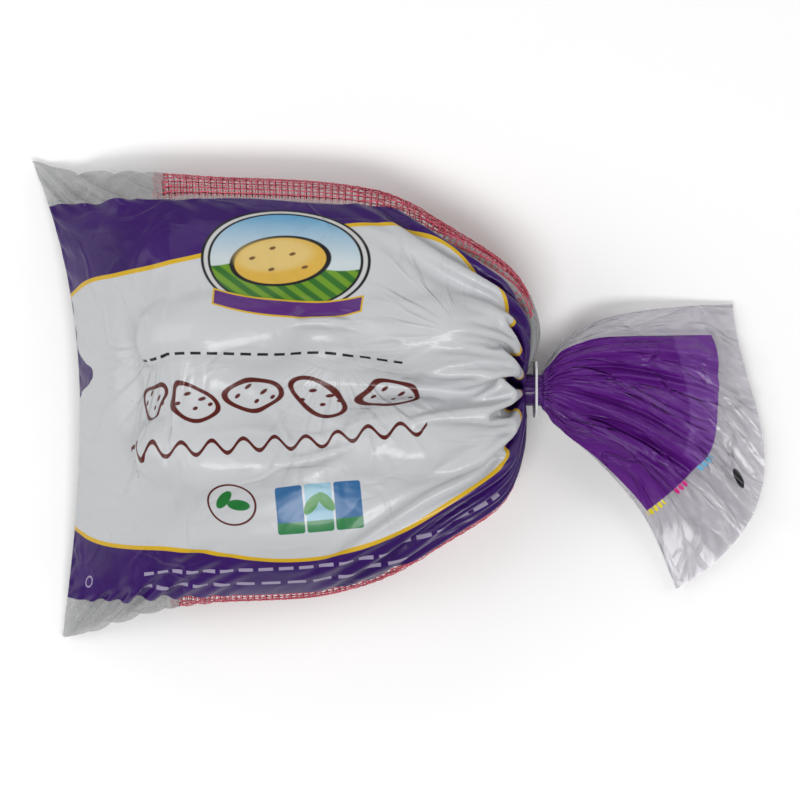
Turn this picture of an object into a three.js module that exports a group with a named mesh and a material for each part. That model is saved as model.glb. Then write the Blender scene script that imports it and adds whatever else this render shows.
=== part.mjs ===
// A tied retail bag of russet potatoes, lying on its net back with the printed film on top.
// Millimetres, +Z up. +X runs from the sealed bottom of the bag to its open mouth.
// The bag is one film tube that is sealed flat at the bottom, filled, gathered into a closure
// clip and left to flare into a tail. The tube is lofted through stations along its length,
// and each film or net panel is a thin closed shell cut from that tube.
import * as THREE from "three";

// ---- Driving dimensions ----
const FILLED_LENGTH = 409; // overall along X, bottom corners to the tail's mouth
const FILLED_WIDTH = 266; // overall along Y, corner to corner of the bottom seal
const FILLED_HEIGHT = 106; // table to the top of the printed film
const BAG_GIRTH = 560; // round the tube, twice the flat width
const PRINT_WIDTH = 250; // printed front film, measured round the tube
const PRINT_MIDDLE = -7.5; // its middle, from the middle of the tube's front, far side positive
const NET_START = 90; // where the net begins, along the film from the bottom seal
const NET_END = 284; // where the net ends, short of the clip
const PANEL_GAP = 0.6; // clearance between neighbouring panels
const FILM_WALL = 0.7; // stand-in thickness of film and net
const NECK_CORE = 1; // half height of the hollow left in the middle of the gathered neck
const REST_CLEARANCE = 0.8; // between one potato and whatever it rests on

// The tables below are drawn for a bag of these overall sizes, and are stretched to the ones
// above. The neck's and the clip's own sizes are not stretched.
const DRAWN_LENGTH = 409;
const DRAWN_WIDTH = 266;
const DRAWN_HEIGHT = 106;
const STRETCH = [
  FILLED_LENGTH / DRAWN_LENGTH,
  FILLED_WIDTH / DRAWN_WIDTH,
  FILLED_HEIGHT / DRAWN_HEIGHT,
];

const NECK = {
  x: 73 * STRETCH[0],
  y: 5 * STRETCH[1],
  z: 38 * STRETCH[2],
  halfWidth: 9,
  halfHeight: 6.5,
  halfLength: 5,
};
const CLIP = {
  width: 31,
  height: 24,
  thickness: 1.3,
  corner: 4,
  chamfer: 0.2,
  throat: 3.2,
  clearance: 0.7,
  tilt: 3,
  towardsTail: 2.5,
};

// Stations along the tube. far and near are the tube's two side lines, bow shifts the middle of
// the section in X and Z, rise and drop are how far the film stands above and hangs below the
// line between the sides, round is the section's roundness (2 is an ellipse, less is a lens),
// and wall is the shell's thickness, which grows where the film is gathered.
const BODY_STATIONS = [
  { along: 0, far: [-203.5, 133, 4], near: [-186, -133, 4], bow: [21, 14],
    rise: 0.95, drop: 0.95, round: 2, wall: FILM_WALL },
  { along: 32, far: [-181, 126, 10], near: [-165, -128, 10], bow: [10, 14],
    rise: 28, drop: 24, round: 1.6, wall: FILM_WALL },
  { along: 80, far: [-142, 126, 20], near: [-130, -117, 20], bow: [1, 10],
    rise: 69, drop: 38, round: 1.8, wall: FILM_WALL },
  { along: 122, far: [-100, 123, 25], near: [-98, -113, 25], bow: [2, 8],
    rise: 73, drop: 44, round: 2, wall: FILM_WALL },
  { along: 168, far: [-54, 121, 28], near: [-52, -111, 28], bow: [1, 6],
    rise: 72, drop: 46, round: 2, wall: FILM_WALL },
  { along: 208, far: [-10, 115, 30], near: [-12, -101, 30], bow: [0, 4],
    rise: 72, drop: 46, round: 2.1, wall: FILM_WALL },
  { along: 252, far: [36, 92, 34], near: [34, -80, 34], bow: [0, 2],
    rise: 68, drop: 44, round: 2.2, wall: FILM_WALL },
  { along: 286, far: [67, 70, 37], near: [65, -56, 37], bow: [0, 0],
    rise: 54, drop: 39, round: 2.2, wall: 0.9 },
  { along: 308, far: [81, 41, 38], near: [78, -24, 38], bow: [-16, 0],
    rise: 31, drop: 30, round: 2.1, wall: 1.6 },
];
const TAIL_STATIONS = [
  { along: 345, far: [89, 31, 36], near: [85, -13, 36], bow: [2, 0],
    rise: 7, drop: 6, round: 1.9, wall: 3.2 },
  { along: 384, far: [120, 47, 24], near: [108, -36, 24], bow: [12, 2],
    rise: 5, drop: 4, round: 1.8, wall: 1.7 },
  { along: 426, far: [158, 53, 11], near: [133, -72, 11], bow: [26, 3],
    rise: 3.5, drop: 3, round: 1.8, wall: 1 },
  { along: 460, far: [185, 55, 5], near: [152, -108, 5], bow: [35, 3],
    rise: 3, drop: 2.5, round: 1.8, wall: 0.9 },
];

// One row per potato, in the order they settle: name, plan position, turn about Z, tilt,
// length, width, depth, and a shape number that picks its lumps.
const POTATOES = [
  { name: "potato_01", x: -103, y: 70, turn: 4, tilt: 0, size: [108, 64, 53], shape: 1 },
  { name: "potato_02", x: -105, y: 3, turn: -3, tilt: 0, size: [107, 63, 54], shape: 2 },
  { name: "potato_03", x: -100, y: -63, turn: -5, tilt: 0, size: [109, 62, 52], shape: 3 },
  { name: "potato_04", x: 8, y: 65, turn: -9, tilt: 0, size: [102, 57, 53], shape: 4 },
  { name: "potato_05", x: 11, y: 4, turn: -3, tilt: 0, size: [103, 60, 52], shape: 5 },
  { name: "potato_06", x: 3, y: -54, turn: 12, tilt: 0, size: [96, 52, 50], shape: 6 },
  { name: "potato_07", x: -92, y: 37, turn: 5, tilt: -2, size: [104, 62, 50], shape: 7 },
  { name: "potato_08", x: -93, y: -31, turn: -4, tilt: 2, size: [100, 60, 50], shape: 8 },
  { name: "potato_09", x: 13, y: 36, turn: -8, tilt: 3, size: [98, 59, 49], shape: 9 },
  { name: "potato_10", x: 8, y: -25, turn: 4, tilt: 3, size: [95, 56, 48], shape: 10 },
];

// ---- Materials ----
const surface = (color, roughness) =>
  new THREE.MeshStandardMaterial({ color, roughness, metalness: 0 });
const PRINTED_FILM = surface(0xd6d8db, 0.3);
const CLEAR_FILM = surface(0xc6c4c8, 0.25);
const NET = surface(0xc0465c, 0.6);
const CLIP_PLASTIC = surface(0xc9c9cc, 0.35);
const RUSSET_SKIN = surface(0x8a6443, 0.85);

// ---- Shape of the tube ----
const SECTION_SAMPLES = 240; // steps used to measure a section's girth
const lerp = THREE.MathUtils.lerp;

// Monotone cubic between stations, so that no value runs past the ones it lies between.
function between(values, places, at) {
  let i = places.findIndex((place) => place > at) - 1;
  if (i < 0) i = at < places[0] ? 0 : places.length - 2;
  const slope = (k) => (values[k + 1] - values[k]) / (places[k + 1] - places[k]);
  const tangent = (k) => {
    if (k === 0) return slope(0);
    if (k === values.length - 1) return slope(k - 1);
    const a = slope(k - 1);
    const b = slope(k);
    return a * b <= 0 ? 0 : (2 * a * b) / (a + b);
  };
  const span = places[i + 1] - places[i];
  const t = (at - places[i]) / span;
  const t2 = t * t;
  const t3 = t2 * t;
  return (
    values[i] * (2 * t3 - 3 * t2 + 1) +
    tangent(i) * span * (t3 - 2 * t2 + t) +
    values[i + 1] * (3 * t2 - 2 * t3) +
    tangent(i + 1) * span * (t3 - t2)
  );
}

// The neck's section at one end of the clip: end is -1 towards the bag and 1 towards the tail.
function neckStation(along, end) {
  const { x, y, z, halfWidth, halfHeight, halfLength } = NECK;
  const edge = (across) => [x + end * halfLength, y + across * halfWidth, z];
  return { along, far: edge(1), near: edge(-1), bow: [0, 0],
    rise: halfHeight, drop: halfHeight, round: 2, wall: halfHeight - NECK_CORE };
}

function stretched(station) {
  const point = (drawn) => drawn.map((value, axis) => value * STRETCH[axis]);
  return {
    ...station,
    far: point(station.far),
    near: point(station.near),
    bow: [station.bow[0] * STRETCH[0], station.bow[1] * STRETCH[2]],
    rise: station.rise * STRETCH[2],
    drop: station.drop * STRETCH[2],
  };
}

const STATIONS = [
  ...BODY_STATIONS.map(stretched),
  neckStation(324, -1),
  neckStation(332, 1),
  ...TAIL_STATIONS.map(stretched),
];
const PLACES = STATIONS.map((station) => station.along);
const MOUTH = PLACES[PLACES.length - 1];

function stationAt(along) {
  const value = (pick) => between(STATIONS.map(pick), PLACES, along);
  const point = (key) => [0, 1, 2].map((axis) => value((station) => station[key][axis]));
  return {
    far: point("far"),
    near: point("near"),
    bow: [0, 1].map((axis) => value((station) => station.bow[axis])),
    rise: value((station) => station.rise),
    drop: value((station) => station.drop),
    round: value((station) => station.round),
    wall: value((station) => station.wall),
  };
}

// A point of one section. angle 0 is the far side, a quarter turn is the top, and inset moves
// the point in from the outer surface. The underside rests flat on Z = 0.
function sectionPoint(station, angle, inset) {
  const { far, near, bow, rise, drop, round } = station;
  const halfWidth = Math.hypot(far[0] - near[0], far[1] - near[1]) / 2;
  const power = (v) => Math.sign(v) * Math.abs(v) ** (2 / round);
  const across = power(Math.cos(angle)) * (1 - inset / halfWidth);
  const lift = power(Math.sin(angle));
  const middle = 1 - across * across;
  const share = (1 + across) / 2;
  const height = lift > 0 ? rise - inset : drop - inset;
  return new THREE.Vector3(
    lerp(near[0], far[0], share) + bow[0] * middle,
    lerp(near[1], far[1], share),
    Math.max(lerp(near[2], far[2], share) + bow[1] * middle + lift * height, inset),
  );
}

// The angles of a section by distance round it, and its girth.
function measure(station) {
  const lengths = [0];
  let last = sectionPoint(station, 0, 0);
  for (let i = 1; i <= SECTION_SAMPLES; i++) {
    const next = sectionPoint(station, (i / SECTION_SAMPLES) * 2 * Math.PI, 0);
    lengths.push(lengths[i - 1] + next.distanceTo(last));
    last = next;
  }
  return { lengths, girth: lengths[SECTION_SAMPLES], top: lengths[SECTION_SAMPLES / 4] };
}

// around is the distance round the full tube from the middle of the front, positive to the far
// side, and the section's own girth is shared out in proportion.
function angleAt(measured, around) {
  const { lengths, girth, top } = measured;
  const target = (((top - (around / BAG_GIRTH) * girth) % girth) + girth) % girth;
  const i = Math.max(1, lengths.findIndex((length) => length >= target));
  const part = (target - lengths[i - 1]) / (lengths[i] - lengths[i - 1]);
  return ((i - 1 + part) / SECTION_SAMPLES) * 2 * Math.PI;
}

// ---- Panels ----
const STEP_ALONG = 13; // longest step between two rows of points along the tube
const STEP_AROUND = 15; // and between two columns round it

// Places from the first cut to the last, no more than a step apart, with one on every cut.
function spread(cuts, step) {
  const places = [cuts[0]];
  for (let i = 1; i < cuts.length; i++) {
    const steps = Math.ceil((cuts[i] - cuts[i - 1]) / step);
    for (let k = 1; k <= steps; k++) places.push(lerp(cuts[i - 1], cuts[i], k / steps));
  }
  return places;
}

// All panels share these rows, so that neighbours follow each other's edges.
const ROWS = spread([...PLACES, NET_START, NET_END].sort((a, b) => a - b), STEP_ALONG);
// The two lines where the tube folds when it is laid flat.
const FOLDS = [-BAG_GIRTH / 4, BAG_GIRTH / 4, (BAG_GIRTH * 3) / 4];

// A closed shell over a patch of the tube: from and to along it, and left and right round it.
function panel(name, material, { from, to, left, right }) {
  const places = [
    from,
    ...ROWS.filter((row) => row > from + PANEL_GAP && row < to - PANEL_GAP),
    to,
  ];
  const rows = places.length - 1;
  const clearOfEdges = (fold) => Math.min(fold - left, right - fold) > STEP_AROUND / 2;
  const turns = spread([left, ...FOLDS.filter(clearOfEdges), right], STEP_AROUND);
  const columns = turns.length - 1;
  const outer = [];
  const inner = [];
  for (const along of places) {
    const station = stationAt(along);
    const measured = measure(station);
    const gap = (PANEL_GAP / 2) * (BAG_GIRTH / measured.girth);
    turns.forEach((turn, j) => {
      const pull = j === 0 ? gap : j === columns ? -gap : 0;
      const angle = angleAt(measured, turn + pull);
      outer.push(sectionPoint(station, angle, 0));
      inner.push(sectionPoint(station, angle, station.wall));
    });
  }
  const width = columns + 1;
  const inside = outer.length;
  const faces = [];
  const quad = (a, b, c, d) => faces.push(a, b, c, a, c, d);
  for (let i = 0; i < rows; i++)
    for (let j = 0; j < columns; j++) {
      const a = i * width + j;
      const b = a + width;
      quad(a, b, b + 1, a + 1);
      quad(inside + a, inside + a + 1, inside + b + 1, inside + b);
    }
  const rim = (a, b) => quad(a, b, inside + b, inside + a);
  for (let i = 0; i < rows; i++) {
    rim((i + 1) * width, i * width);
    rim(i * width + columns, (i + 1) * width + columns);
  }
  for (let j = 0; j < columns; j++) {
    rim(j, j + 1);
    rim(rows * width + j + 1, rows * width + j);
  }
  const geometry = new THREE.BufferGeometry().setFromPoints([...outer, ...inner]);
  geometry.setIndex(faces);
  const mesh = new THREE.Mesh(geometry, material);
  mesh.name = name;
  return mesh;
}

function panels() {
  const left = PRINT_MIDDLE - PRINT_WIDTH / 2;
  const right = PRINT_MIDDLE + PRINT_WIDTH / 2;
  const back = { left: right, right: left + BAG_GIRTH };
  const step = PANEL_GAP / 2;
  return [
    panel("printed_front_film", PRINTED_FILM,
      { from: 0, to: MOUTH, left, right }),
    panel("clear_bottom_film", CLEAR_FILM,
      { from: 0, to: NET_START - step, ...back }),
    panel("net_back_panel", NET,
      { from: NET_START + step, to: NET_END - step, ...back }),
    panel("clear_neck_and_tail_film", CLEAR_FILM,
      { from: NET_END + step, to: MOUTH, ...back }),
  ];
}

// ---- Potatoes ----
const POTATO_ROUND = 2.25; // blunter than an ellipsoid
const POTATO_SEGMENTS = [18, 11];

// A lumpy, slightly bent and tapered ellipsoid with its length along X.
function potatoGeometry([length, width, depth], shape) {
  const geometry = new THREE.SphereGeometry(1, ...POTATO_SEGMENTS);
  const position = geometry.getAttribute("position");
  const blunt = (v) => Math.sign(v) * Math.abs(v) ** (2 / POTATO_ROUND);
  for (let i = 0; i < position.count; i++) {
    // The sphere is turned so that its poles become the two ends.
    const end = position.getY(i);
    const wide = -position.getX(i);
    const deep = position.getZ(i);
    const girth = Math.hypot(wide, deep);
    const fuller = girth > 1e-6 ? blunt(girth) / girth : 0;
    const taper = 1 + 0.07 * Math.sin(shape * 2.3) * end;
    const lump =
      1 +
      0.03 * Math.sin(3 * end + shape) * Math.cos(2 * Math.atan2(deep, wide) + shape) +
      0.02 * Math.sin(5 * end + 2.1 * shape);
    position.setXYZ(
      i,
      (length / 2) * end,
      (width / 2) * wide * fuller * taper * lump,
      (depth / 2) * deep * fuller * taper * lump + 0.04 * depth * Math.cos(shape) * (0.4 - end * end),
    );
  }
  return geometry;
}

// How far a mesh can be lowered before it meets the ground or a mesh below it.
function fallBelow(mesh, settled, ground) {
  const down = new THREE.Vector3(0, 0, -1);
  const up = new THREE.Vector3(0, 0, 1);
  const corners = (one) => {
    const position = one.geometry.getAttribute("position");
    return Array.from({ length: position.count }, (_, i) =>
      new THREE.Vector3().fromBufferAttribute(position, i).applyMatrix4(one.matrixWorld));
  };
  let fall = Math.min(...corners(mesh).map((corner) => corner.z)) - ground;
  const meet = (from, direction, others) => {
    const hit = new THREE.Raycaster(from, direction).intersectObjects(others, false)[0];
    if (hit) fall = Math.min(fall, hit.distance);
  };
  for (const corner of corners(mesh)) meet(corner, down, settled);
  for (const other of settled) for (const corner of corners(other)) meet(corner, up, [mesh]);
  return fall - REST_CLEARANCE;
}

// Each potato is turned, stretched with the bag, and let down onto the ones before it.
function pile() {
  const START_HEIGHT = 300;
  const turned = THREE.MathUtils.degToRad;
  const bothSides = RUSSET_SKIN.clone();
  bothSides.side = THREE.DoubleSide;
  const settled = [];
  for (const { name, x, y, turn, tilt, size, shape } of POTATOES) {
    const geometry = potatoGeometry(size, shape);
    geometry.rotateY(turned(tilt)).rotateZ(turned(turn)).scale(...STRETCH);
    const mesh = new THREE.Mesh(geometry, bothSides);
    mesh.name = name;
    mesh.position.set(x * STRETCH[0], y * STRETCH[1], START_HEIGHT);
    mesh.updateMatrixWorld(true);
    mesh.position.z -= fallBelow(mesh, settled, FILM_WALL);
    mesh.updateMatrixWorld(true);
    settled.push(mesh);
  }
  return settled;
}

// ---- Closure clip ----
// A flat plate standing across the neck, with a hole for the gathered film and a throat that
// the film was pushed in through.
function closureClip() {
  const { width, height, thickness, corner, chamfer, throat, clearance, tilt } = CLIP;
  const holeWidth = NECK.halfWidth + clearance;
  const holeHeight = NECK.halfHeight + clearance;
  const throatAngle = Math.asin(throat / 2 / holeWidth);
  const right = width / 2 - chamfer;
  const top = height / 2 - chamfer;
  const plate = new THREE.Shape();
  plate.moveTo(-throat / 2, -top);
  plate.lineTo(-right + corner, -top);
  plate.lineTo(-right, -top + corner);
  plate.lineTo(-right, top - corner);
  plate.lineTo(-right + corner, top);
  plate.lineTo(right - corner, top);
  plate.lineTo(right, top - corner);
  plate.lineTo(right, -top + corner);
  plate.lineTo(right - corner, -top);
  plate.lineTo(throat / 2, -top);
  // Up one lip of the throat, round the hole and down the other lip.
  const start = -Math.PI / 2 + throatAngle;
  const end = -Math.PI / 2 - throatAngle + 2 * Math.PI;
  plate.absellipse(0, 0, holeWidth, holeHeight, start, end, false, 0);
  plate.closePath();
  const geometry = new THREE.ExtrudeGeometry(plate, {
    depth: thickness - 2 * chamfer,
    bevelEnabled: true,
    bevelSize: chamfer,
    bevelThickness: chamfer,
    bevelSegments: 1,
    curveSegments: 20,
  });
  geometry.translate(0, 0, chamfer - thickness / 2);
  const mesh = new THREE.Mesh(geometry, CLIP_PLASTIC);
  mesh.name = "closure_clip";
  // The plate's own X, Y and Z become the bag's Y, Z and X.
  const turn = new THREE.Matrix4().makeBasis(
    new THREE.Vector3(0, 1, 0), new THREE.Vector3(0, 0, 1), new THREE.Vector3(1, 0, 0));
  const lean = new THREE.Matrix4().makeRotationY(THREE.MathUtils.degToRad(tilt));
  mesh.applyMatrix4(lean.multiply(turn));
  mesh.position.set(NECK.x + CLIP.towardsTail, NECK.y, NECK.z);
  return mesh;
}

// ---- The whole bag, centred over the origin ----
const bag = new THREE.Group();
bag.add(...panels(), ...pile(), closureClip());
bag.updateMatrixWorld(true);
const middle = new THREE.Box3().setFromObject(bag, true).getCenter(new THREE.Vector3());
bag.position.set(-middle.x, -middle.y, 0);

export default bag;
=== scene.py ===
import math

import bpy
import bmesh
import numpy as np
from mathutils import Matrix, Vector
from mathutils.bvhtree import BVHTree


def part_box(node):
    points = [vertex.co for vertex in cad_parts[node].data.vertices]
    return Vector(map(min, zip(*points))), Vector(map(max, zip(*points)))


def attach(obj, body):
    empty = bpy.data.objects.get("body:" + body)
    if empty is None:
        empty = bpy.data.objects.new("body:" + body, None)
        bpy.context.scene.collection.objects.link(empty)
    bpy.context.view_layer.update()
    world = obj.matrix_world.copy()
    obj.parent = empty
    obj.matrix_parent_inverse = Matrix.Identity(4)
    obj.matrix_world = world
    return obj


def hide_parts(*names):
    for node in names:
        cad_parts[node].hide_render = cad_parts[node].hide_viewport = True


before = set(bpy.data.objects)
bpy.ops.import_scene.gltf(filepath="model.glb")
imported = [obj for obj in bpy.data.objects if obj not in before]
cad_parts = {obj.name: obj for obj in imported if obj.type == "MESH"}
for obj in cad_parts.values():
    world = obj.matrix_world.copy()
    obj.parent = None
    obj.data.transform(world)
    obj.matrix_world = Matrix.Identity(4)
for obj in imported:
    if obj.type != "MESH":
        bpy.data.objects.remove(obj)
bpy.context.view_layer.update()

MM = 0.001
rng = np.random.default_rng(4)

# ---- The bag's own measures, in millimetres, and where its plan sits in the row frame ----
NECK = np.array([73.0, 5.0, 38.0])
NECK_HALF = (9.0, 6.5)
FILM_NECK, FILM_MOUTH, GIRTH = 335.0, 465.0, 560.0
TAIL_TWIST = 10.0
NET_FROM, NET_TO = 90.0, 303.75
FAR_MARGIN = [(225, 121), (246, 112), (275, 98), (310, 97), (335, 106)]
SKIN_GAP, EASED_GAP = 0.6, 1.3  # least gap from film to potato, settled and eased
LAYER_GAP = 1.1  # from the film's lower layer to the upper one
FLOOR_GAP = 0.3  # from the floor to the film
PRINT_LEFT, PRINT_RIGHT = -132.5, 117.5
clip_low, clip_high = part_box("closure_clip")
SHIFT = np.array(
    [(clip_low[0] + clip_high[0]) / 2 / MM - 75.5, (clip_low[1] + clip_high[1]) / 2 / MM - 5, 0]
)

# Stations along the tube: distance, far side, near side, bow in X and Z, rise, drop, roundness.
STATIONS = np.array([
    [0, -203.5, 133, 4, -186, -133, 4, 19, 14, 0.5, 0.5, 2.0],
    [32, -181, 126, 10, -165, -128, 10, 10, 14, 28, 24, 1.6],
    [80, -142, 126, 20, -130, -117, 20, 1, 10, 69, 38, 1.8],
    [122, -100, 123, 25, -98, -113, 25, 2, 8, 74, 44, 2.0],
    [168, -54, 121, 28, -52, -111, 28, 1, 6, 73, 46, 2.0],
    [208, -10, 115, 30, -12, -101, 30, 0, 4, 73, 46, 2.1],
    [252, 35, 89, 34, 31, -75, 34, 0, 2, 69, 44, 2.2],
    [286, 66, 66, 37, 60, -53, 37, 0, 0, 54, 39, 2.2],
    [308, 78, 33, 38, 69, -18, 38, -14, 0, 31, 30, 2.1],
    [324, 68, 14, 38, 68, -4, 38, 0, 0, 6.5, 6.5, 2.0],
    [332, 78, 14, 38, 78, -4, 38, 0, 0, 6.5, 6.5, 2.0],
    [345, 89, 31, 36, 85, -13, 36, 2, 0, 7, 6, 1.9],
    [384, 120, 47, 24, 109, -35, 24, 12, 2, 5, 4, 1.8],
    [426, 158, 53, 11, 137, -70, 11, 24, 3, 3.5, 3, 1.8],
    [460, 185, 55, 5, 152, -108, 5, 35, 3, 3, 2.5, 1.8],
], float)
STATION_AT = np.interp(
    STATIONS[:, 0], [0, 324, 332, 460], [0, FILM_NECK - 4, FILM_NECK + 4, FILM_MOUTH]
)


# ---- Small helpers ----
def mesh_object(name, verts, faces, smooth=True):
    mesh = bpy.data.meshes.new(name)
    mesh.from_pydata(np.asarray(verts).tolist(), [], np.asarray(faces).tolist())
    mesh.polygons.foreach_set("use_smooth", [smooth] * len(mesh.polygons))
    obj = bpy.data.objects.new(name, mesh)
    bpy.context.collection.objects.link(obj)
    return obj


def from_middle(v):
    """Distance round the tube from the middle of the front, far side positive."""
    return (v + GIRTH / 2) % GIRTH - GIRTH / 2


def unit(a):
    return a / np.maximum(np.linalg.norm(a, axis=-1, keepdims=True), 1e-9)


def smooth_curve(values, at, x):
    """Monotone cubic through rows of values."""
    slope = np.diff(values, axis=0) / np.diff(at)[:, None]
    m = np.zeros_like(values)
    m[0], m[-1] = slope[0], slope[-1]
    a, b = slope[:-1], slope[1:]
    with np.errstate(divide="ignore", invalid="ignore"):
        m[1:-1] = np.where(a * b > 0, 2 * a * b / (a + b), 0)
    i = np.clip(np.searchsorted(at, x, side="right") - 1, 0, len(at) - 2)
    h = (at[i + 1] - at[i])[:, None]
    t = (x - at[i])[:, None] / h
    return (
        values[i] * (2 * t**3 - 3 * t**2 + 1)
        + m[i] * h * (t**3 - 2 * t**2 + t)
        + values[i + 1] * (3 * t**2 - 2 * t**3)
        + m[i + 1] * h * (t**3 - t**2)
    )


# ---- Potatoes: the CAD shapes made smooth, with eyes ----
def fine_potato(name):
    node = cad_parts[name]
    bm = bmesh.new()
    bm.from_mesh(node.data)
    bmesh.ops.remove_doubles(bm, verts=bm.verts, dist=1e-5)
    rough = bpy.data.meshes.new("rough")
    bm.to_mesh(rough)
    bm.free()
    temp = bpy.data.objects.new("rough", rough)
    bpy.context.collection.objects.link(temp)
    mod = temp.modifiers.new("s", "SUBSURF")
    mod.levels = mod.render_levels = 2
    graph = bpy.context.evaluated_depsgraph_get()
    mesh = bpy.data.meshes.new_from_object(temp.evaluated_get(graph))
    bpy.data.objects.remove(temp)
    n = len(mesh.vertices)
    p = np.zeros(n * 3)
    mesh.vertices.foreach_get("co", p)
    p = p.reshape(-1, 3) / MM
    nrm = np.zeros(n * 3)
    mesh.vertices.foreach_get("normal", nrm)
    nrm = nrm.reshape(-1, 3)
    dent = np.zeros(n)
    for _ in range(11):
        eye = p[rng.integers(n)]
        d = np.linalg.norm((p - eye), axis=1)
        dent += 1.3 * np.exp(-((d / 3.4) ** 2)) - 0.35 * np.exp(-(((d - 6) / 2.5) ** 2))
    broad = sum(
        0.35 * np.sin(p @ rng.normal(size=3) * 0.11 + rng.uniform(0, 6.28)) for _ in range(4)
    )
    p += nrm * (broad - np.maximum(dent, -0.4) - 0.3)[:, None]
    mesh.vertices.foreach_set("co", (p * MM).ravel())
    mesh.polygons.foreach_set("use_smooth", [True] * len(mesh.polygons))
    obj = bpy.data.objects.new("russet_" + name[-2:], mesh)
    bpy.context.collection.objects.link(obj)
    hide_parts(name)
    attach(obj, "root")
    return obj


potatoes = [fine_potato(f"potato_{k:02d}") for k in range(1, 11)]


# ---- Distance to the potatoes on a grid, in the bag's own millimetres ----
class Room:
    def __init__(self, objects, step=3.0):
        self.step = step
        self.low = np.array([-172.0, -108.0, -6.0])
        high = np.array([72.0, 112.0, 112.0])
        count = ((high - self.low) / step).astype(int) + 1
        axes = [self.low[k] + step * np.arange(count[k]) for k in range(3)]
        grid = np.stack(np.meshgrid(*axes, indexing="ij"), -1)
        self.dist = np.full(grid.shape[:3], 50.0)
        for obj in objects:
            mesh = obj.data
            co = np.zeros(len(mesh.vertices) * 3)
            mesh.vertices.foreach_get("co", co)
            co = co.reshape(-1, 3) / MM - SHIFT
            tree = BVHTree.FromPolygons(
                [Vector(c) for c in co], [tuple(f.vertices) for f in mesh.polygons]
            )
            near = np.all((grid >= co.min(0) - 10) & (grid <= co.max(0) + 10), axis=-1)
            for i in map(tuple, np.argwhere(near)):
                p = Vector(grid[i])
                q, normal, _, d = tree.find_nearest(p)
                d = -d if (p - q).dot(normal) < 0 else d
                self.dist[i] = min(self.dist[i], d)
        self.slope = np.stack(np.gradient(self.dist, step), -1)

    def at(self, p):
        q = (p - self.low) / self.step
        n = np.array(self.dist.shape)
        inside = np.all((q >= 0) & (q < n - 1.001), axis=-1)
        q = np.clip(q, 0, n - 1.001)
        i = q.astype(int)
        t = q - i
        d, g = np.zeros(p.shape[:-1]), np.zeros(p.shape)
        for corner in np.ndindex(2, 2, 2):
            c = np.array(corner)
            w = np.prod(np.where(c == 1, t, 1 - t), axis=-1)
            j = tuple(np.moveaxis(i + c, -1, 0))
            d += w * self.dist[j]
            g += w[..., None] * self.slope[j]
        return np.where(inside, d, 1e3), unit(g)


# ---- The film tube: lofted, then let settle over the potatoes ----
def loft(along, columns):
    """Rows along the tube and columns round it, from the middle of the front to the far side."""
    r = smooth_curve(STATIONS[:, 1:], STATION_AT, along)
    far, near, bow = r[:, 0:3], r[:, 3:6], r[:, 6:8]
    rise, drop, blunt = r[:, 8:9], r[:, 9:10], r[:, 10:11]
    n = 720
    angle = np.linspace(0, 2 * np.pi, n + 1)[None]
    across = np.sign(np.cos(angle)) * np.abs(np.cos(angle)) ** (2 / blunt)
    lift = np.sign(np.sin(angle)) * np.abs(np.sin(angle)) ** (2 / blunt)
    mid, share = 1 - across**2, (1 + across) / 2
    skew = 1 - 0.75 * across * np.clip((along[:, None] - FILM_NECK) / 60, 0, 1)
    skew = skew + 0.3 * across * np.clip(1 - along[:, None] / 60, 0, 1)
    z = near[:, 2:3] + (far - near)[:, 2:3] * share + bow[:, 1:2] * mid
    z = np.maximum(z + lift * np.where(lift > 0, rise, drop), 0)
    p = np.stack([
        near[:, 0:1] + (far - near)[:, 0:1] * share + bow[:, 0:1] * mid * skew,
        near[:, 1:2] + (far - near)[:, 1:2] * share,
        z,
    ], -1)
    step = np.linalg.norm(np.diff(p, axis=1), axis=2)
    s = np.concatenate([np.zeros((len(along), 1)), np.cumsum(step, 1)], 1)
    out = np.zeros((len(along), columns, 3))
    for i in range(len(along)):
        turn = np.arange(columns) / columns - TAIL_TWIST / GIRTH * np.clip(
            (along[i] - FILM_NECK) / 30, 0, 1
        )
        want = (s[i, n // 4] - turn * s[i, -1]) % s[i, -1]
        for k in range(3):
            out[i, :, k] = np.interp(want, s[i], p[i, :, k])
    return out


def resample(P, rows, columns):
    """Cubic, and periodic round the tube."""
    def cubic(A, x, wrap):
        n = len(A)
        i = np.floor(x).astype(int)
        t = (x - i).reshape(-1, *([1] * (A.ndim - 1)))
        at = [A[(i + k) % n] if wrap else A[np.clip(i + k, 0, n - 1)] for k in (-1, 0, 1, 2)]
        return 0.5 * (
            2 * at[1]
            + (at[2] - at[0]) * t
            + (2 * at[0] - 5 * at[1] + 4 * at[2] - at[3]) * t**2
            + (3 * at[1] - at[0] - 3 * at[2] + at[3]) * t**3
        )

    nu, nv, _ = P.shape
    A = cubic(P, np.linspace(0, nu - 1, rows), False)
    return cubic(A.transpose(1, 0, 2), np.arange(columns) * nv / columns, True).transpose(1, 0, 2)


def link(a, b, rest, push, pull):
    d = b - a
    n = np.sqrt(np.einsum("...i,...i", d, d))[..., None]
    over = n - rest
    return d * (0.5 * np.where(over > 0, pull, push) * over / np.maximum(n, 1e-6))


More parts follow.
